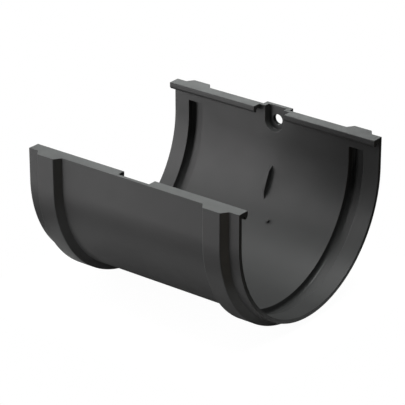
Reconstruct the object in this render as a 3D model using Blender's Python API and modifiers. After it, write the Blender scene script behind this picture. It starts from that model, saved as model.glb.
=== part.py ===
"""Union for half-round roof gutter, moulded in one piece.

The wall is a half circle with straight sides above it. Near each end a raised band with S-shaped flanks
runs round the outside, and the groove that takes a seal lies behind it on the inside. Each rim turns in to
a hooked lip, which is left out at mid-length, where the back wall has a screw pocket. A low fin on the
inside of the back wall stops the gutter ends, and a small round pip marks the moulding gate.

Metres, +Z up, X along the gutter, front at -Y. The origin lies at mid-length between the two walls, at the
height of the lowest points of the bands, on which the union stands.
"""
import math

import bmesh
import bpy
from mathutils import Matrix

MM = 0.001

# Channel wall
LENGTH = 154.0 * MM
OUTER_RADIUS = 70.0 * MM
WALL = 2.5 * MM
SIDE_HEIGHT = 20.0 * MM                  # straight side above the half circle
ARC_STEPS = 51                           # odd, so that a level facet lies lowest

# Raised bands, outside, one near each end
BAND_FROM_END = 16.25 * MM               # middle of the band to the end face
BAND_RISE = 4.4 * MM
BAND_CREST = 12.2 * MM                   # width of the crest, corner to corner
BAND_FLANK_ANGLE = math.radians(62.5)
BAND_CREST_RADIUS = 1.0 * MM
BAND_FOOT_RADIUS = 1.6 * MM

# Seal grooves, inside, behind the bands
GROOVE_WIDTH = 10.4 * MM
GROOVE_FLOOR_WALL = 2.4 * MM             # wall left between the groove's floor and the crest
GROOVE_FLOOR_RADIUS = 2.0 * MM
GROOVE_BELOW_RIM = 11.1 * MM             # closed end of the groove to the rim

# Hooked lips along both rims
LIP_REACH = 8.0 * MM                     # outer face of the wall to the edge of the lip
LIP_THICKNESS = 2.6 * MM
LIP_DROP = 4.7 * MM                      # rim to the tip of the hook
LIP_NOSE_RADIUS = 2.3 * MM
LIP_ROOT_RADIUS = 0.7 * MM
LIP_GAP = 22.4 * MM                      # length left free of the lips at mid-length

# Screw pocket in the back wall
SCREW_HOLE = 6.8 * MM
SCREW_BELOW_RIM = 8.9 * MM
POCKET_WIDTH = 13.5 * MM                 # inside
POCKET_WALL = 3.0 * MM
POCKET_REACH = 4.3 * MM                  # outer face of the wall to the outer face of the pocket
POCKET_FLOOR_RADIUS = 1.5 * MM
POCKET_EDGE_RADIUS = 0.8 * MM

# Stop fin on the inside of the back wall, its places as angles below the centre of the half circle
FIN_THICKNESS = 2.0 * MM
FIN_HEIGHT = 2.8 * MM
FIN_TOP_ANGLE = math.radians(14.6)
FIN_RAMP_ANGLE = math.radians(3.2)       # the ramp from the wall to the full height
FIN_EDGE_ANGLE = math.radians(11.3)      # the straight free edge

# Moulding gate pip on the inside of the back wall
PIP_DIAMETER = 2.4 * MM
PIP_HEIGHT = 1.0 * MM
PIP_FROM_MIDDLE = 10.0 * MM
PIP_ANGLE = math.radians(43.3)

# How far a cutter passes through a face, and how far an added shape sinks in the wall
OVERCUT = 1.0 * MM
EMBED = 0.5 * WALL

# Facets on the small arcs
FILLET_STEPS = 4
EDGE_STEPS = 3
POCKET_STEPS = 20
HOLE_STEPS = 28
PIP_STEPS = 14

SHARP_ANGLE = math.radians(30.0)         # edges that turn by more than this are shaded sharp
SAME_PLACE = 0.01 * MM                   # corners closer to a plane than this lie on it

# Sizes that follow from those above
HALF_LENGTH = 0.5 * LENGTH
INNER_RADIUS = OUTER_RADIUS - WALL
CREST_RADIUS = OUTER_RADIUS + BAND_RISE
GROOVE_RADIUS = CREST_RADIUS - GROOVE_FLOOR_WALL
BAND_X = HALF_LENGTH - BAND_FROM_END
ARC_Z = CREST_RADIUS * math.cos(math.pi / (2 * ARC_STEPS))
RIM_Z = ARC_Z + SIDE_HEIGHT
SCREW_Z = RIM_Z - SCREW_BELOW_RIM
POCKET_FACE_Y = OUTER_RADIUS + POCKET_REACH
POCKET_FLOOR_Y = POCKET_FACE_Y - POCKET_WALL


def clear_scene():
    for item in list(bpy.data.objects):
        bpy.data.objects.remove(item, do_unlink=True)


def new_collection(name):
    collection = bpy.data.collections.new(name)
    bpy.context.scene.collection.children.link(collection)
    return collection


def graphite_plastic():
    """Semi-matt dark grey rainwater plastic, coloured right through."""
    material = bpy.data.materials.new("graphite_plastic")
    material.use_nodes = True
    shader = material.node_tree.nodes["Principled BSDF"]
    shader.inputs["Base Color"].default_value = (0.066, 0.067, 0.067, 1.0)
    shader.inputs["Roughness"].default_value = 0.45
    shader.inputs["Metallic"].default_value = 0.0
    return material


def arc(centre, radius, start, end, steps):
    """Points on a circular arc in a plane, both ends included, the angles in radians."""
    turns = [start + (end - start) * step / steps for step in range(steps + 1)]
    return [(centre[0] + radius * math.cos(turn), centre[1] + radius * math.sin(turn)) for turn in turns]


def finish(mesh, name, collection):
    """Turn the faces outward and put the mesh on an object of its own."""
    bmesh.ops.recalc_face_normals(mesh, faces=mesh.faces)
    data = bpy.data.meshes.new(name)
    mesh.to_mesh(data)
    mesh.free()
    data.shade_smooth()
    data.set_sharp_from_angle(angle=SHARP_ANGLE)
    item = bpy.data.objects.new(name, data)
    collection.objects.link(item)
    return item


def as_tool(item):
    item.hide_render = True
    item.display_type = "WIRE"
    return item


def region(faces):
    """The faces with their edges and corners, as an extrusion takes them."""
    edges = {edge for face in faces for edge in face.edges}
    corners = {corner for face in faces for corner in face.verts}
    return list(faces) + list(edges) + list(corners)


def extrude(mesh, faces, axis, place):
    """Extrude faces that lie square to the axis "x", "y" or "z" up to a place on it, and return those at the
    far end."""
    made = bmesh.ops.extrude_face_region(mesh, geom=region(faces))["geom"]
    for part in made:
        if isinstance(part, bmesh.types.BMVert):
            setattr(part.co, axis, place)
    return [part for part in made if isinstance(part, bmesh.types.BMFace)]


def extrude_outline(name, outline, axis, start, end, collection):
    """Extrude a closed outline from start to end along X, from (y, z) points, or along Y, from (x, z)."""
    mesh = bmesh.new()
    if axis == "x":
        corners = [mesh.verts.new((start, across, up)) for across, up in outline]
    else:
        corners = [mesh.verts.new((across, start, up)) for across, up in outline]
    extrude(mesh, [mesh.faces.new(corners)], axis, end)
    return finish(mesh, name, collection)


def mirror(item, across_x, across_y):
    """Mirror a shape that stands clear of the mirror planes."""
    modifier = item.modifiers.new("mirror", "MIRROR")
    modifier.use_axis = (across_x, across_y, False)
    modifier.use_mirror_merge = False


def combine(body, tool, operation):
    modifier = body.modifiers.new(tool.name, "BOOLEAN")
    modifier.operation = operation
    modifier.solver = "EXACT"
    modifier.object = tool


def band_flank():
    """The S-shaped flank from the wall up to the crest, as (run, rise) from the crest's corner inward: a
    concave foot, a straight slope and a convex edge, each tangent to the next."""
    half_turn = math.tan(0.5 * BAND_FLANK_ANGLE)
    run = BAND_RISE / math.tan(BAND_FLANK_ANGLE)
    foot_centre = (-run - BAND_FOOT_RADIUS * half_turn, BAND_FOOT_RADIUS)
    edge_centre = (BAND_CREST_RADIUS * half_turn, BAND_RISE - BAND_CREST_RADIUS)
    level = 0.5 * math.pi
    foot = arc(foot_centre, BAND_FOOT_RADIUS, -level, -level + BAND_FLANK_ANGLE, FILLET_STEPS)
    edge = arc(edge_centre, BAND_CREST_RADIUS, level + BAND_FLANK_ANGLE, level, EDGE_STEPS)
    return foot + edge


def groove_section():
    """The right-hand groove's section: square sides from the mouth, and a floor with round corners."""
    half = 0.5 * GROOVE_WIDTH
    corner = half - GROOVE_FLOOR_RADIUS
    level = GROOVE_RADIUS - GROOVE_FLOOR_RADIUS
    quarter = 0.5 * math.pi
    far = arc((BAND_X + corner, level), GROOVE_FLOOR_RADIUS, 0.0, quarter, FILLET_STEPS)
    near = arc((BAND_X - corner, level), GROOVE_FLOOR_RADIUS, quarter, math.pi, FILLET_STEPS)
    return [(BAND_X + half, INNER_RADIUS)] + far + near + [(BAND_X - half, INNER_RADIUS)]


def wall_outside():
    """The outer half of the wall's axial section, left to right, with the two bands."""
    half_crest = 0.5 * BAND_CREST
    flank = band_flank()
    rising = [(BAND_X - half_crest + run, OUTER_RADIUS + rise) for run, rise in flank]
    falling = [(BAND_X + half_crest - run, OUTER_RADIUS + rise) for run, rise in reversed(flank)]
    right = rising + falling + [(HALF_LENGTH, OUTER_RADIUS)]
    left = [(-x, radius) for x, radius in reversed(right)]
    return left + right


def groove_corners(wall_face):
    """The corners of the left-hand and of the right-hand groove in a face of the wall, each in order."""
    reach = 0.5 * GROOVE_WIDTH + SAME_PLACE
    corners = list(wall_face.verts)
    grooves = []
    for middle in (-BAND_X, BAND_X):
        inside = [abs(corner.co.x - middle) < reach for corner in corners]
        first = next(place for place in range(len(corners)) if inside[place] and not inside[place - 1])
        in_order = corners[first:] + corners[:first]
        grooves.append(in_order[:sum(inside)])
    return grooves


def make_channel(collection):
    """Carry the wall's section down the front side, round the half circle and up the back side. Next to the
    rims the grooves' sections go with it and are solid, and between those stretches they are left open."""
    right_groove = groove_section()
    left_groove = [(-x, radius) for x, radius in reversed(right_groove)]
    inside = [(HALF_LENGTH, INNER_RADIUS)] + right_groove + left_groove + [(-HALF_LENGTH, INNER_RADIUS)]
    wall = wall_outside() + inside
    groove_end = RIM_Z - GROOVE_BELOW_RIM
    mesh = bmesh.new()
    front_face = mesh.faces.new([mesh.verts.new((x, -radius, RIM_Z)) for x, radius in wall])
    front_rim = [front_face] + [mesh.faces.new(groove) for groove in groove_corners(front_face)]
    front_level = extrude(mesh, front_rim, "z", groove_end)
    open_face = max(front_level, key=lambda face: len(face.verts))
    foot = extrude(mesh, [open_face], "z", ARC_Z)
    spun = bmesh.ops.spin(
        mesh,
        geom=region(foot),
        cent=(0.0, 0.0, ARC_Z),
        axis=(1.0, 0.0, 0.0),
        angle=math.pi,
        steps=ARC_STEPS,
    )
    turned = [part for part in spun["geom_last"] if isinstance(part, bmesh.types.BMFace)]
    back_face = extrude(mesh, turned, "z", groove_end)[0]
    back_grooves = groove_corners(back_face)
    back_rim = [back_face] + [mesh.faces.new(groove) for groove in back_grooves]
    extrude(mesh, back_rim, "z", RIM_Z)
    for groove in back_grooves:
        mesh.faces.new(groove)
    return finish(mesh, "union_body", collection)


def make_lips(collection):
    """A flange inward from the rim, its edge turned down to a hook with a round nose."""
    edge = OUTER_RADIUS - LIP_REACH
    hook = edge + LIP_THICKNESS
    underside = RIM_Z - LIP_THICKNESS
    nose_centre = (edge + LIP_NOSE_RADIUS, RIM_Z - LIP_DROP + LIP_NOSE_RADIUS)
    root_centre = (hook + LIP_ROOT_RADIUS, underside - LIP_ROOT_RADIUS)
    root = INNER_RADIUS + EMBED
    outline = [(root, RIM_Z), (edge, RIM_Z)]
    outline += arc(nose_centre, LIP_NOSE_RADIUS, math.pi, 1.5 * math.pi, FILLET_STEPS)
    outline += [(hook, RIM_Z - LIP_DROP)]
    outline += arc(root_centre, LIP_ROOT_RADIUS, math.pi, 0.5 * math.pi, EDGE_STEPS)
    outline += [(root, underside)]
    lips = extrude_outline("rim_lips", outline, "x", 0.5 * LIP_GAP, HALF_LENGTH, collection)
    mirror(lips, True, True)
    return as_tool(lips)


def pocket_outline(half_width, top_z):
    """A slot open at the top, with a half-round bottom about the screw's axis."""
    bottom = arc((0.0, SCREW_Z), half_width, 0.0, -math.pi, POCKET_STEPS)
    return [(half_width, top_z)] + bottom + [(-half_width, top_z)]


def round_far_edges(item, far_y, radius, top_z):
    """Round the edges of a slot shape at its outer face, all but the one along its top."""
    mesh = bmesh.new()
    mesh.from_mesh(item.data)
    chosen = []
    for edge in mesh.edges:
        on_face = all(abs(corner.co.y - far_y) < SAME_PLACE for corner in edge.verts)
        on_top = all(abs(corner.co.z - top_z) < SAME_PLACE for corner in edge.verts)
        if on_face and not on_top:
            chosen.append(edge)
    bmesh.ops.bevel(
        mesh, geom=chosen, offset=radius, segments=EDGE_STEPS, profile=0.5, affect="EDGES")
    for corner in mesh.verts:
        if abs(corner.co.z - top_z) < SAME_PLACE:
            corner.co.z = top_z
    mesh.to_mesh(item.data)
    mesh.free()


def make_pocket_boss(collection):
    half_width = 0.5 * POCKET_WIDTH + POCKET_WALL
    outline = pocket_outline(half_width, RIM_Z)
    boss = extrude_outline(
        "pocket_boss", outline, "y", INNER_RADIUS + EMBED, POCKET_FACE_Y, collection)
    round_far_edges(boss, POCKET_FACE_Y, POCKET_EDGE_RADIUS, RIM_Z)
    return as_tool(boss)


def make_pocket_cutter(collection):
    top_z = RIM_Z + OVERCUT
    outline = pocket_outline(0.5 * POCKET_WIDTH, top_z)
    cutter = extrude_outline(
        "pocket_recess", outline, "y", INNER_RADIUS - OVERCUT, POCKET_FLOOR_Y, collection)
    round_far_edges(cutter, POCKET_FLOOR_Y, POCKET_FLOOR_RADIUS, top_z)
    return as_tool(cutter)


def make_screw_cutter(collection):
    outline = arc((0.0, SCREW_Z), 0.5 * SCREW_HOLE, 0.0, 2.0 * math.pi, HOLE_STEPS)[:-1]
    cutter = extrude_outline(
        "screw_hole", outline, "y", POCKET_FLOOR_Y - OVERCUT, POCKET_FACE_Y + OVERCUT, collection)
    return as_tool(cutter)


def back_wall_point(radius, angle):
    """A (y, z) point at an angle below the centre of the half circle, towards the back."""
    return (radius * math.cos(angle), ARC_Z - radius * math.sin(angle))


def make_fin(collection):
    """A low blade that ramps out of the wall, runs straight and ends square above the floor."""
    free_radius = INNER_RADIUS - FIN_HEIGHT
    root_radius = INNER_RADIUS + EMBED
    ramp_end = FIN_TOP_ANGLE + FIN_RAMP_ANGLE
    edge_end = ramp_end + FIN_EDGE_ANGLE
    foot_y = free_radius * math.cos(edge_end)
    foot_angle = math.acos(foot_y / root_radius)
    middle_angle = 0.5 * (FIN_TOP_ANGLE + foot_angle)
    outline = [
        back_wall_point(root_radius, FIN_TOP_ANGLE),
        back_wall_point(INNER_RADIUS, FIN_TOP_ANGLE),
        back_wall_point(free_radius, ramp_end),
        back_wall_point(free_radius, edge_end),
        back_wall_point(root_radius, foot_angle),
        back_wall_point(root_radius, middle_angle),
    ]
    half = 0.5 * FIN_THICKNESS
    return as_tool(extrude_outline("stop_fin", outline, "x", -half, half, collection))


def make_pip(collection):
    """A small round stud, square to the wall."""
    mesh = bmesh.new()
    depth = PIP_HEIGHT + EMBED
    y, z = back_wall_point(INNER_RADIUS - PIP_HEIGHT + 0.5 * depth, PIP_ANGLE)
    lean = Matrix.Rotation(0.5 * math.pi - PIP_ANGLE, 4, "X")
    place = Matrix.Translation((PIP_FROM_MIDDLE, y, z)) @ lean
    radius = 0.5 * PIP_DIAMETER
    bmesh.ops.create_cone(
        mesh, cap_ends=True, segments=PIP_STEPS, radius1=radius, radius2=radius, depth=depth, matrix=place)
    return as_tool(finish(mesh, "gate_pip", collection))


def make_union():
    clear_scene()
    parts = new_collection("gutter_union")
    tools = new_collection("cutters_and_additions")
    body = make_channel(parts)
    combine(body, make_lips(tools), "UNION")
    combine(body, make_pocket_boss(tools), "UNION")
    combine(body, make_pocket_cutter(tools), "DIFFERENCE")
    combine(body, make_screw_cutter(tools), "DIFFERENCE")
    combine(body, make_fin(tools), "UNION")
    combine(body, make_pip(tools), "UNION")
    body.data.materials.append(graphite_plastic())


make_union()
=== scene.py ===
import math

import bmesh
import bpy
import numpy as np
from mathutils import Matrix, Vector


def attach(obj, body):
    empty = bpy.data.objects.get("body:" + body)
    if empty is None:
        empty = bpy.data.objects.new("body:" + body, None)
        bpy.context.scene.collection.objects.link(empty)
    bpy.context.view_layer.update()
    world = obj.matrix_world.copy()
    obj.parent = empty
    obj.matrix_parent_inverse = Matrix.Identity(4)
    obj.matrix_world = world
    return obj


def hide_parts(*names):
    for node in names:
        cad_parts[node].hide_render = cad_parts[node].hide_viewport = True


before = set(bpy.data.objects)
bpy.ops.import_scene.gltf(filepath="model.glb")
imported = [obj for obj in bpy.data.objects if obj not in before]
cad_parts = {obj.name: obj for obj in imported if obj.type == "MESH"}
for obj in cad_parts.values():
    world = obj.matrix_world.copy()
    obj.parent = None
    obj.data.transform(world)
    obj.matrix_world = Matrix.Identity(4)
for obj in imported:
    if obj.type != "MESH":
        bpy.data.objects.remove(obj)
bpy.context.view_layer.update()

MM = 0.001

# Trough wall. Sizes are in millimetres from here on, and radii are from the axis of the half circle.
HALF_LENGTH = 77.0
OUTER_RADIUS = 70.0
INNER_RADIUS = 67.5
AXIS_Z = 74.3647
RIM_Z = AXIS_Z + 20.0
EDGE_ROUND = 0.18               # the exact Booleans lose the trough at some sizes: render after a change
ARC_STATIONS = 180

# Joining
HAIR = 0.01                     # one joined face lies this far below another, so that none share a plane
OVERCUT = 1.0                   # a cutting shape reaches this far past the face it opens
LIP_ROOT = INNER_RADIUS + 1.25  # how far the lips, the fin, the pip and the boss are sunk in the wall
FIN_ROOT = INNER_RADIUS + 1.2
BOSS_ROOT = INNER_RADIUS + 1.1
SAME_POINT = 0.002
SHORTEST_EDGE = 0.001
SHARP_ANGLE = 35.0              # edges that turn by more than this are shaded sharp

# Raised bands and the seal grooves behind them
BAND_X = 60.75
CREST_RADIUS = AXIS_Z
HALF_CREST = 6.1
FLANK_ANGLE = 54.5
CREST_ROUND = 0.9
FOOT_ROUND = 0.5
HALF_GROOVE = 5.2
GROOVE_DEPTH = 4.5
GROOVE_FLOOR_ROUND = 2.0
GROOVE_MOUTH_ROUND = 0.3
GROOVE_END_ROUND = 1.0
GROOVE_END_Z = RIM_Z - 11.1

# Hooked lips
LIP_EDGE = 62.0
LIP_THICKNESS = 2.6
LIP_DROP = 4.7
LIP_NOSE = 2.3
LIP_EDGE_ROUND = 0.4
LIP_TIP_ROUND = 0.25
LIP_HOOK_ROUND = 0.7
LIP_WALL_ROUND = 0.6
LIP_END_ROUND = 0.32
LIP_GAP = 11.2                  # from mid-length to the end of a lip

# Screw pocket
SCREW_Z = RIM_Z - 8.9
HOLE_RADIUS = 3.4
POCKET_HALF = 6.75
POCKET_WALL = 3.0
POCKET_FLOOR = 71.3
POCKET_CORNER = 0.7
POCKET_EDGE_ROUND = 0.3
POCKET_FACE = 74.3
BOSS_EDGE_ROUND = 0.8
HOLE_EDGE_ROUND = 0.25

# Stop fin and gate pip
FIN_HALF = 1.0
FIN_HEIGHT = 2.8
FIN_ANGLES = (14.6, 17.8, 29.1)  # its top, the end of its ramp and its foot, in degrees below the axis
FIN_EDGE_ROUND = 0.2
PIP_X = 9.7
PIP_ANGLE = 43.3
PIP_RADIUS = 1.2
PIP_HEIGHT = 1.6
PIP_EDGE_ROUND = 0.15

# Satin graphite plastic
DEEP_GREY = (0.0737, 0.0742, 0.0742)
PALE_GREY = (0.0767, 0.0772, 0.0772)
ROUGHNESS = 0.35
SHEEN = 0.37

# Camera, table top and lamps, in metres and degrees
CAMERA_PLACE = (0.76909, -0.99400, 0.62845)
CAMERA_TURN = (65.491, 0.0156, 37.8276)
SENSOR_WIDTH = 36.0
LENS = 206.42
TABLE_HALF = 0.105
TABLE_Z = -0.2 * MM
TABLE_GREY = 0.6
TABLE_GLOW = 0.975
SHADOW_GREY = 0.12
LAMP_TARGET = (0.0, 0.0, 0.045)
LAMP_DISTANCE = 1.5
WHITE = (1.0, 1.0, 1.0)
ROSE = (1.0, 0.98, 0.99)
MINT = (0.96, 1.0, 0.98)
AMBER = (1.0, 0.9, 0.74)
LAMPS = (                       # name, azimuth from +X towards +Y, elevation, width, height, power, colour
    ("front_left", 227.0, 11.75, 0.2, 1.355, 4.16, ROSE),
    ("front", 238.0, 1.75, 0.2, 1.35, 2.43, ROSE),
    ("high_left", 200.0, 78.62, 0.6, 0.75, 3.76, WHITE),
    ("low_front_left", 215.0, -22.0, 1.05, 0.286, 1.7, WHITE),
    ("front_right", 272.0, -10.0, 0.4, 0.6, 1.28, WHITE),
    ("left", 198.0, 20.0, 0.6, 1.35, 8.04, WHITE),
    ("high_back_left", 134.0, 58.0, 0.5, 0.7, 1.5, MINT),
    ("overhead", 0.0, 82.0, 0.6, 0.9, 7.75, MINT),
    ("back_left", 128.0, 22.0, 0.5, 0.4, 1.73, MINT),
    ("under", 216.0, -32.0, 1.0, 0.4, 0.45, WHITE),
    ("low_right", 350.0, -24.0, 0.6, 0.84, 0.9, AMBER),
    ("high_left_side", 185.0, 67.0, 0.84, 0.6, 1.98, WHITE),
    ("back", 62.0, 36.0, 0.4, 0.4, 0.6, MINT),
)


# Curves and surfaces

def arc(centre, radius, start, end, count):
    """Points centre + radius * (cos turn, sin turn), for count turns spread evenly from start to end degrees."""
    turn = np.radians(np.linspace(start, end, count))
    return np.column_stack([centre[0] + radius * np.cos(turn), centre[1] + radius * np.sin(turn)])


def inset(loop, distance):
    """A closed plane loop moved inward. Each point goes along the sum of its two edges' unit normals over one
    plus the cosine of the turn between them, so that every edge moves by the distance."""
    ahead = np.roll(loop, -1, axis=0) - loop
    ahead = ahead / np.maximum(np.linalg.norm(ahead, axis=1, keepdims=True), 1e-9)
    twice_area = np.sum(loop[:, 0] * np.roll(loop[:, 1], -1) - np.roll(loop[:, 0], -1) * loop[:, 1])
    normal = np.sign(twice_area) * np.column_stack([-ahead[:, 1], ahead[:, 0]])
    behind = np.roll(normal, 1, axis=0)
    turn = 1.0 + np.sum(normal * behind, axis=1, keepdims=True)
    return loop + distance * (normal + behind) / turn


def rounded(radius, count):
    """A quarter round as (inset, drop) from the flat on top down to the side: radius * (1 - cos t) and
    radius * (1 - sin t), for t from 90 degrees to 0."""
    turn = np.radians(np.linspace(90.0, 0.0, count))
    return np.column_stack([radius * (1.0 - np.cos(turn)), radius * (1.0 - np.sin(turn))])


def along_x(outline, stations):
    """A (y, z) outline set at each station (x, step), where it is moved inward by the step."""
    flats = [inset(outline, step) for _, step in stations]
    return [np.column_stack([np.full(len(flat), x), flat]) for (x, _), flat in zip(stations, flats)]


def loft(name, loops):
    """A closed skin over loops of equally many points, each joined to the next by four-sided faces, with the
    first and last loops filled. Points that fall together are merged, and the faces are turned outward."""
    loops = np.array(loops)
    stations, points = loops.shape[:2]
    index = np.arange(stations * points).reshape(stations, points)
    ahead = np.roll(index, -1, axis=1)
    quads = np.stack([index[:-1], ahead[:-1], ahead[1:], index[1:]], axis=-1).reshape(-1, 4)
    faces = quads.tolist() + [index[0][::-1].tolist(), index[-1].tolist()]
    data = bpy.data.meshes.new(name)
    data.from_pydata((loops.reshape(-1, 3) * MM).tolist(), [], faces)
    work = bmesh.new()
    work.from_mesh(data)
    bmesh.ops.remove_doubles(work, verts=work.verts, dist=SAME_POINT * MM)
    bmesh.ops.dissolve_degenerate(work, edges=work.edges, dist=SHORTEST_EDGE * MM)
    bmesh.ops.recalc_face_normals(work, faces=work.faces)
    work.to_mesh(data)
    work.free()
    piece = bpy.data.objects.new(name, data)
    bpy.context.scene.collection.objects.link(piece)
    return piece


def mirror_copies(piece, axes):
    """Add the piece's image across the middle plane of each axis in turn, in the same mesh."""
    work = bmesh.new()
    work.from_mesh(piece.data)
    for axis in axes:
        copy = bmesh.ops.duplicate(work, geom=work.verts[:] + work.edges[:] + work.faces[:])["geom"]
        flip = Vector((1.0, 1.0, 1.0))
        flip[axis] = -1.0
        bmesh.ops.scale(work, vec=flip, verts=[part for part in copy if isinstance(part, bmesh.types.BMVert)])
        bmesh.ops.reverse_faces(work, faces=[part for part in copy if isinstance(part, bmesh.types.BMFace)])
    work.to_mesh(piece.data)
    work.free()
    return piece


# Trough

def band_points():
    """The right-hand band from left to right as (x, radius): a concave foot tangent to the wall, a straight
    flank, a convex edge tangent to the crest, and the same mirrored."""
    rise = CREST_RADIUS - OUTER_RADIUS
    half_turn = math.tan(0.5 * math.radians(FLANK_ANGLE))
    run = rise / math.tan(math.radians(FLANK_ANGLE))
    foot_x = -HALF_CREST - run - FOOT_ROUND * half_turn
    edge_x = -HALF_CREST + CREST_ROUND * half_turn
    foot = arc((foot_x, OUTER_RADIUS + FOOT_ROUND), FOOT_ROUND, -90.0, -90.0 + FLANK_ANGLE, 9)
    edge = arc((edge_x, CREST_RADIUS - CREST_ROUND), CREST_ROUND, 90.0 + FLANK_ANGLE, 90.0, 7)
    left = np.vstack([foot, edge])
    return np.vstack([left, left[::-1] * (-1.0, 1.0)]) + (BAND_X, 0.0)


def groove_points():
    """The right-hand groove from right to left as (x, depth): rounded mouth edges, square sides, and a floor
    whose corners are quarter circles."""
    mouth, floor = GROOVE_MOUTH_ROUND, GROOVE_FLOOR_ROUND
    edge = arc((HALF_GROOVE + mouth, mouth), mouth, -90.0, -180.0, 5)
    corner = arc((HALF_GROOVE - floor, GROOVE_DEPTH - floor), floor, 0.0, 90.0, 9)
    right = np.vstack([edge, corner])
    return np.vstack([right, right[::-1] * (-1.0, 1.0)]) + (BAND_X, 0.0)


def wall_section():
    """The wall's axial section as (x, radius) with its grooves left flat, and how deep in a groove each of its
    points lies."""
    edge = arc((HALF_LENGTH - EDGE_ROUND, OUTER_RADIUS - EDGE_ROUND), EDGE_ROUND, 90.0, 0.0, 5)
    heel = arc((HALF_LENGTH - EDGE_ROUND, INNER_RADIUS + EDGE_ROUND), EDGE_ROUND, 0.0, -90.0, 5)
    plain = np.vstack([band_points(), edge, heel])
    groove = groove_points()
    flat = np.column_stack([groove[:, 0], np.full(len(groove), INNER_RADIUS)])
    right = np.vstack([plain, flat])
    depth = np.concatenate([np.zeros(len(plain)), groove[:, 1]])
    return np.vstack([right, right[::-1] * (-1.0, 1.0)]), np.concatenate([depth, depth[::-1]])


def groove_start():
    """How a groove begins at its closed end, as (height, share of its depth): a rounded mouth edge, the square
    end wall, and a hollow corner down to the floor."""
    mouth, corner = GROOVE_MOUTH_ROUND, GROOVE_END_ROUND
    edge = arc((GROOVE_END_Z + mouth, mouth), mouth, 270.0, 180.0, 4)
    hollow = arc((GROOVE_END_Z - corner, GROOVE_DEPTH - corner), corner, 0.0, 90.0, 5)
    return np.vstack([edge, hollow]) / (1.0, GROOVE_DEPTH)


def trough():
    """The wall's section carried down the front side, round the half circle and up the back side. A point's
    radius grows by its groove depth times the station's share, and the rims are rounded over."""
    section, depth = wall_section()
    deep = np.column_stack([np.zeros(len(depth)), depth])
    side = [(RIM_Z - drop, 0.0, step) for step, drop in rounded(EDGE_ROUND, 5)]
    side += [(height, share, 0.0) for height, share in groove_start()]
    front = []
    for height, share, step in side:
        x, radius = inset(section + share * deep, step).T
        front.append(np.column_stack([x, -radius, np.full(len(x), height)]))
    x, radius = (section + deep).T
    turns = np.linspace(0.0, math.pi, ARC_STATIONS + 1)
    bend = [np.column_stack([x, -radius * math.cos(turn), AXIS_Z - radius * math.sin(turn)]) for turn in turns]
    back = [loop * (1.0, -1.0, 1.0) for loop in front[::-1]]
    return loft("union_shell", front + bend + back)


# What stands on the wall, and what is cut in it

def rim_lips():
    """The lip's outline in (y, z) carried along X with its ends rounded over, in all four places. The outline
    goes along the top, round the nose, up the inside of the hook and back along the underside."""
    top, under, tip = RIM_Z - HAIR, RIM_Z - LIP_THICKNESS, RIM_Z - LIP_DROP
    hook = LIP_EDGE + LIP_THICKNESS
    edge, end, inside, wall = LIP_EDGE_ROUND, LIP_TIP_ROUND, LIP_HOOK_ROUND, LIP_WALL_ROUND
    outline = np.vstack([
        [(LIP_ROOT, top)],
        arc((LIP_EDGE + edge, top - edge), edge, 90.0, 180.0, 5),
        arc((LIP_EDGE + LIP_NOSE, tip + LIP_NOSE), LIP_NOSE, 180.0, 270.0, 10)[:-1],
        arc((hook - end, tip + end), end, -90.0, 0.0, 4),
        arc((hook + inside, under - inside), inside, 180.0, 90.0, 5),
        arc((INNER_RADIUS - wall, under - wall), wall, 90.0, 0.0, 5),
        [(LIP_ROOT, under - wall)],
    ])
    ends = rounded(LIP_END_ROUND, 5)
    stations = [(HALF_LENGTH - HAIR - drop, step) for step, drop in ends]
    stations += [(LIP_GAP + drop, step) for step, drop in ends[::-1]]
    return mirror_copies(loft("rim_lips", along_x(outline, stations)), (0, 1))


def slot(half_width, top, along):
    """A slot's outline at a distance along Y: straight sides from the top down, and a half circle below them
    about the screw's axis."""
    x, z = arc((0.0, SCREW_Z), half_width, 0.0, -180.0, 41).T
    x = np.concatenate([[half_width], x, [-half_width]])
    z = np.concatenate([[top], z, [top]])
    return np.column_stack([x, np.full(len(x), along), z])


def pocket_boss():
    """Slot outlines from inside the wall out to the face, growing narrower over the face's rounded edge, where
    the top falls by half as much as the sides draw in."""
    half_width = POCKET_HALF + POCKET_WALL
    top = RIM_Z - HAIR
    loops = [slot(half_width, top, BOSS_ROOT)]
    loops += [slot(half_width - step, top - 0.5 * step, POCKET_FACE - drop)
              for step, drop in rounded(BOSS_EDGE_ROUND, 6)[::-1]]
    return loft("pocket_boss", loops)


def pocket_recess():
    """Slot outlines from in front of the wall to the pocket's floor: narrower over the rounded mouth edge, then
    narrower again round the hollow corner at the floor."""
    top = RIM_Z + OVERCUT
    loops = [slot(POCKET_HALF + POCKET_EDGE_ROUND, top, INNER_RADIUS - OVERCUT)]
    loops += [slot(POCKET_HALF + step, top, INNER_RADIUS - HAIR + drop)
              for step, drop in rounded(POCKET_EDGE_ROUND, 6)]
    loops += [slot(POCKET_HALF - step, top, POCKET_FLOOR - drop)
              for step, drop in rounded(POCKET_CORNER, 7)[::-1]]
    return loft("pocket_recess", loops)


def pocket_top():
    """The recess's plan, wider towards the rim, so that its top edges are rounded. The plan runs from in front
    of the wall round the two corners at the floor, and starts a little below the rounded edge and clear of the
    walls."""
    corner = arc((POCKET_HALF - POCKET_CORNER, POCKET_FLOOR - POCKET_CORNER), POCKET_CORNER, 0.0, 90.0, 7)
    half = np.vstack([[(POCKET_HALF, INNER_RADIUS - OVERCUT)], corner])
    plan = np.vstack([half, half[::-1] * (-1.0, 1.0)])
    below, clear = 0.1, 0.02
    stations = [(RIM_Z - POCKET_EDGE_ROUND - below, clear)]
    stations += [(RIM_Z - drop, -step) for step, drop in rounded(POCKET_EDGE_ROUND, 5)[::-1]]
    stations += [(RIM_Z + OVERCUT, -POCKET_EDGE_ROUND)]
    flats = [inset(plan, step) for _, step in stations]
    loops = [np.column_stack([flat, np.full(len(flat), height)]) for (height, _), flat in zip(stations, flats)]
    return loft("pocket_top", loops)


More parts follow.
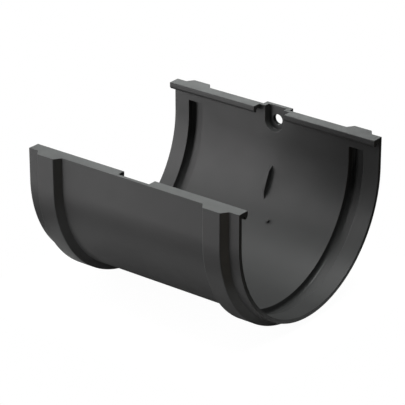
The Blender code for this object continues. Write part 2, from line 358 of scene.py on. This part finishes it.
def screw_hole():
    """Circles along Y whose radius grows towards both ends, over the hole's rounded edges."""
    ring = arc((0.0, 0.0), 1.0, 0.0, 360.0, 65)[:-1]
    edge = rounded(HOLE_EDGE_ROUND, 5)
    side = [(HOLE_RADIUS + HOLE_EDGE_ROUND, POCKET_FLOOR - OVERCUT)]
    side += [(HOLE_RADIUS + step, POCKET_FLOOR - HAIR + drop) for step, drop in edge]
    side += [(HOLE_RADIUS + step, POCKET_FACE + HAIR - drop) for step, drop in edge[::-1]]
    side += [(HOLE_RADIUS + HOLE_EDGE_ROUND, POCKET_FACE + OVERCUT)]
    loops = [np.column_stack([radius * ring[:, 0], np.full(len(ring), y), SCREW_Z + radius * ring[:, 1]])
             for radius, y in side]
    return loft("screw_hole", loops)


def on_wall(radius, degrees):
    """The (y, z) point at a radius and at an angle below the axis, towards the back."""
    turn = np.radians(degrees)
    return np.column_stack([radius * np.cos(turn), AXIS_Z - radius * np.sin(turn)])


def stop_fin():
    """The fin's outline in (y, z), a ramp, a straight free edge and a square foot, carried along X with its two
    long edges rounded over."""
    top, ramp, foot = FIN_ANGLES
    free = INNER_RADIUS - FIN_HEIGHT
    foot_y = free * math.cos(math.radians(foot))
    foot_root = math.degrees(math.acos(foot_y / FIN_ROOT))
    outline = np.vstack([
        on_wall(FIN_ROOT, np.linspace(foot_root, top, 5)),
        on_wall(INNER_RADIUS, [top]),
        on_wall(free, [ramp, foot]),
    ])
    ends = rounded(FIN_EDGE_ROUND, 5)
    stations = [(FIN_HALF - drop, step) for step, drop in ends]
    stations += [(-FIN_HALF + drop, step) for step, drop in ends[::-1]]
    return loft("stop_fin", along_x(outline, stations))


def gate_pip():
    """Circles about a line square to the wall, the last few over the stud's rounded edge."""
    ring = arc((0.0, 0.0), 1.0, 0.0, 360.0, 29)[:-1]
    turn = math.radians(PIP_ANGLE)
    out = np.array([0.0, math.cos(turn), -math.sin(turn)])
    side = np.array([0.0, math.sin(turn), math.cos(turn)])
    along = np.array([1.0, 0.0, 0.0])
    stations = [(PIP_RADIUS, FIN_ROOT)]
    stations += [(PIP_RADIUS - step, INNER_RADIUS - PIP_HEIGHT + drop)
                 for step, drop in rounded(PIP_EDGE_ROUND, 5)[::-1]]
    loops = []
    for radius, reach in stations:
        middle = np.array([PIP_X, 0.0, AXIS_Z]) + reach * out
        loops.append(middle + radius * (ring[:, :1] * along + ring[:, 1:] * side))
    return loft("gate_pip", loops)


def joined(body, tools):
    """The body with each tool added to it or cut from it, as one closed mesh with smooth shading that keeps
    large faces flat and the turned edges sharp."""
    for tool, operation in tools:
        modifier = body.modifiers.new(tool.name, "BOOLEAN")
        modifier.operation = operation
        modifier.solver = "EXACT"
        modifier.object = tool
    settled = body.evaluated_get(bpy.context.evaluated_depsgraph_get())
    data = bpy.data.meshes.new_from_object(settled)
    body.modifiers.clear()
    body.data = data
    for tool, _ in tools:
        bpy.data.objects.remove(tool, do_unlink=True)
    data.shade_smooth()
    data.set_sharp_from_angle(angle=math.radians(SHARP_ANGLE))
    weighted = body.modifiers.new("even_shading", "WEIGHTED_NORMAL")
    weighted.keep_sharp = True
    weighted.mode = "FACE_AREA"
    return body


# Finish

def node(tree, kind, label, **values):
    """A node whose inputs take the given values, with underscores in their names standing for spaces."""
    item = tree.nodes.new(kind)
    item.label = label
    for name, value in values.items():
        item.inputs[name.replace("_", " ")].default_value = value
    return item


def satin_graphite():
    """Dyed-through graphite plastic off a lightly blasted mould. Its tone drifts between two close greys, its
    gloss varies a little, and its face has a fine grain over long shallow waves."""
    material = bpy.data.materials.new("satin_graphite")
    material.use_nodes = True
    tree = material.node_tree
    links = tree.links
    shader = tree.nodes["Principled BSDF"]
    shader.inputs["IOR"].default_value = 1.5
    shader.inputs["Specular IOR Level"].default_value = SHEEN
    place = tree.nodes.new("ShaderNodeTexCoord")
    in_mm = node(tree, "ShaderNodeMapping", "millimetres", Scale=(1000.0, 1000.0, 1000.0))
    links.new(place.outputs["Object"], in_mm.inputs["Vector"])

    tone = node(tree, "ShaderNodeTexNoise", "drift of tone", Scale=0.045, Detail=3.0, Roughness=0.55)
    links.new(in_mm.outputs["Vector"], tone.inputs["Vector"])
    greys = tree.nodes.new("ShaderNodeValToRGB")
    greys.color_ramp.elements[0].position = 0.3
    greys.color_ramp.elements[0].color = (*DEEP_GREY, 1.0)
    greys.color_ramp.elements[1].position = 0.7
    greys.color_ramp.elements[1].color = (*PALE_GREY, 1.0)
    links.new(tone.outputs["Fac"], greys.inputs["Fac"])
    links.new(greys.outputs["Color"], shader.inputs["Base Color"])

    gloss = node(tree, "ShaderNodeTexNoise", "patches of gloss", Scale=0.11, Detail=4.0, Roughness=0.6)
    links.new(in_mm.outputs["Vector"], gloss.inputs["Vector"])
    spread = node(tree, "ShaderNodeMapRange", "roughness", From_Min=0.3, From_Max=0.7,
                  To_Min=ROUGHNESS - 0.03, To_Max=ROUGHNESS + 0.03)
    links.new(gloss.outputs["Fac"], spread.inputs["Value"])
    links.new(spread.outputs["Result"], shader.inputs["Roughness"])

    along = node(tree, "ShaderNodeMapping", "stretched along the trough", Scale=(300.0, 1000.0, 1000.0))
    links.new(place.outputs["Object"], along.inputs["Vector"])
    waves = node(tree, "ShaderNodeTexNoise", "shallow waves", Scale=0.09, Detail=1.0)
    links.new(along.outputs["Vector"], waves.inputs["Vector"])
    sway = node(tree, "ShaderNodeBump", "waves", Strength=1.0, Distance=0.03 * MM)
    links.new(waves.outputs["Fac"], sway.inputs["Height"])
    grain = node(tree, "ShaderNodeTexNoise", "blasted grain", Scale=3.2, Detail=2.0, Roughness=0.6)
    links.new(in_mm.outputs["Vector"], grain.inputs["Vector"])
    face = node(tree, "ShaderNodeBump", "grain", Strength=1.0, Distance=0.004 * MM)
    links.new(grain.outputs["Fac"], face.inputs["Height"])
    links.new(sway.outputs["Normal"], face.inputs["Normal"])
    links.new(face.outputs["Normal"], shader.inputs["Normal"])
    return material


# Stage

def camera():
    """A long lens from above the front right corner."""
    data = bpy.data.cameras.new("camera")
    data.sensor_width = SENSOR_WIDTH
    data.lens = LENS
    item = bpy.data.objects.new("camera", data)
    item.location = CAMERA_PLACE
    item.rotation_euler = [math.radians(turn) for turn in CAMERA_TURN]
    bpy.context.scene.collection.objects.link(item)
    bpy.context.scene.camera = item


def softbox(name, azimuth, elevation, width, height, power, colour):
    """A rectangular lamp at the lamps' distance in the given direction, facing the union."""
    data = bpy.data.lights.new(name, "AREA")
    data.shape = "RECTANGLE"
    data.size, data.size_y = width, height
    data.energy = power
    data.color = colour
    item = bpy.data.objects.new(name, data)
    turn, rise = math.radians(azimuth), math.radians(elevation)
    towards = Vector((math.cos(turn) * math.cos(rise), math.sin(turn) * math.cos(rise), math.sin(rise)))
    item.location = Vector(LAMP_TARGET) + LAMP_DISTANCE * towards
    item.rotation_euler = towards.to_track_quat("Z", "Y").to_euler()
    item.visible_camera = False
    bpy.context.scene.collection.objects.link(item)


def table_top():
    """A square table top just under the bands. The camera sees it as white with what is left of the union's
    shadow, and the union is lit by a plain grey."""
    data = bpy.data.meshes.new("floor")
    half = TABLE_HALF
    corners = [(-half, -half), (half, -half), (half, half), (-half, half)]
    data.from_pydata([(x, y, TABLE_Z) for x, y in corners], [], [(0, 1, 2, 3)])
    item = bpy.data.objects.new("floor", data)
    bpy.context.scene.collection.objects.link(item)
    material = bpy.data.materials.new("white_table")
    material.use_nodes = True
    tree = material.node_tree
    tree.nodes.clear()
    links = tree.links
    path = tree.nodes.new("ShaderNodeLightPath")
    grey = node(tree, "ShaderNodeBsdfDiffuse", "table seen by the union", Color=(*3 * [TABLE_GREY], 1.0))
    glow = node(tree, "ShaderNodeEmission", "white", Color=(*WHITE, 1.0), Strength=TABLE_GLOW)
    shaded = node(tree, "ShaderNodeBsdfDiffuse", "shadow", Color=(*3 * [SHADOW_GREY], 1.0))
    white = tree.nodes.new("ShaderNodeAddShader")
    links.new(glow.outputs[0], white.inputs[0])
    links.new(shaded.outputs[0], white.inputs[1])
    mix = tree.nodes.new("ShaderNodeMixShader")
    links.new(path.outputs["Is Camera Ray"], mix.inputs[0])
    links.new(grey.outputs[0], mix.inputs[1])
    links.new(white.outputs[0], mix.inputs[2])
    out = tree.nodes.new("ShaderNodeOutputMaterial")
    links.new(mix.outputs[0], out.inputs["Surface"])
    data.materials.append(material)
    return item


def white_room():
    """White where the camera looks past the table, and dark to everything else, so that the lamps alone light
    the union."""
    item = bpy.data.worlds.new("studio")
    item.use_nodes = True
    nodes, links = item.node_tree.nodes, item.node_tree.links
    nodes.clear()
    path = nodes.new("ShaderNodeLightPath")
    dark = nodes.new("ShaderNodeBackground")
    dark.inputs["Strength"].default_value = 0.0
    white = nodes.new("ShaderNodeBackground")
    white.inputs["Color"].default_value = (*WHITE, 1.0)
    mix = nodes.new("ShaderNodeMixShader")
    out = nodes.new("ShaderNodeOutputWorld")
    links.new(path.outputs["Is Camera Ray"], mix.inputs[0])
    links.new(dark.outputs[0], mix.inputs[1])
    links.new(white.outputs[0], mix.inputs[2])
    links.new(mix.outputs[0], out.inputs["Surface"])
    bpy.context.scene.world = item


union = joined(trough(), [
    (rim_lips(), "UNION"),
    (pocket_boss(), "UNION"),
    (pocket_recess(), "DIFFERENCE"),
    (pocket_top(), "DIFFERENCE"),
    (screw_hole(), "DIFFERENCE"),
    (stop_fin(), "UNION"),
    (gate_pip(), "UNION"),
])
union.data.materials.append(satin_graphite())
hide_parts("union_body")
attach(union, "root")

camera()
table_top()
for lamp in LAMPS:
    softbox(*lamp)
white_room()
bpy.context.scene.view_settings.view_transform = "Standard"
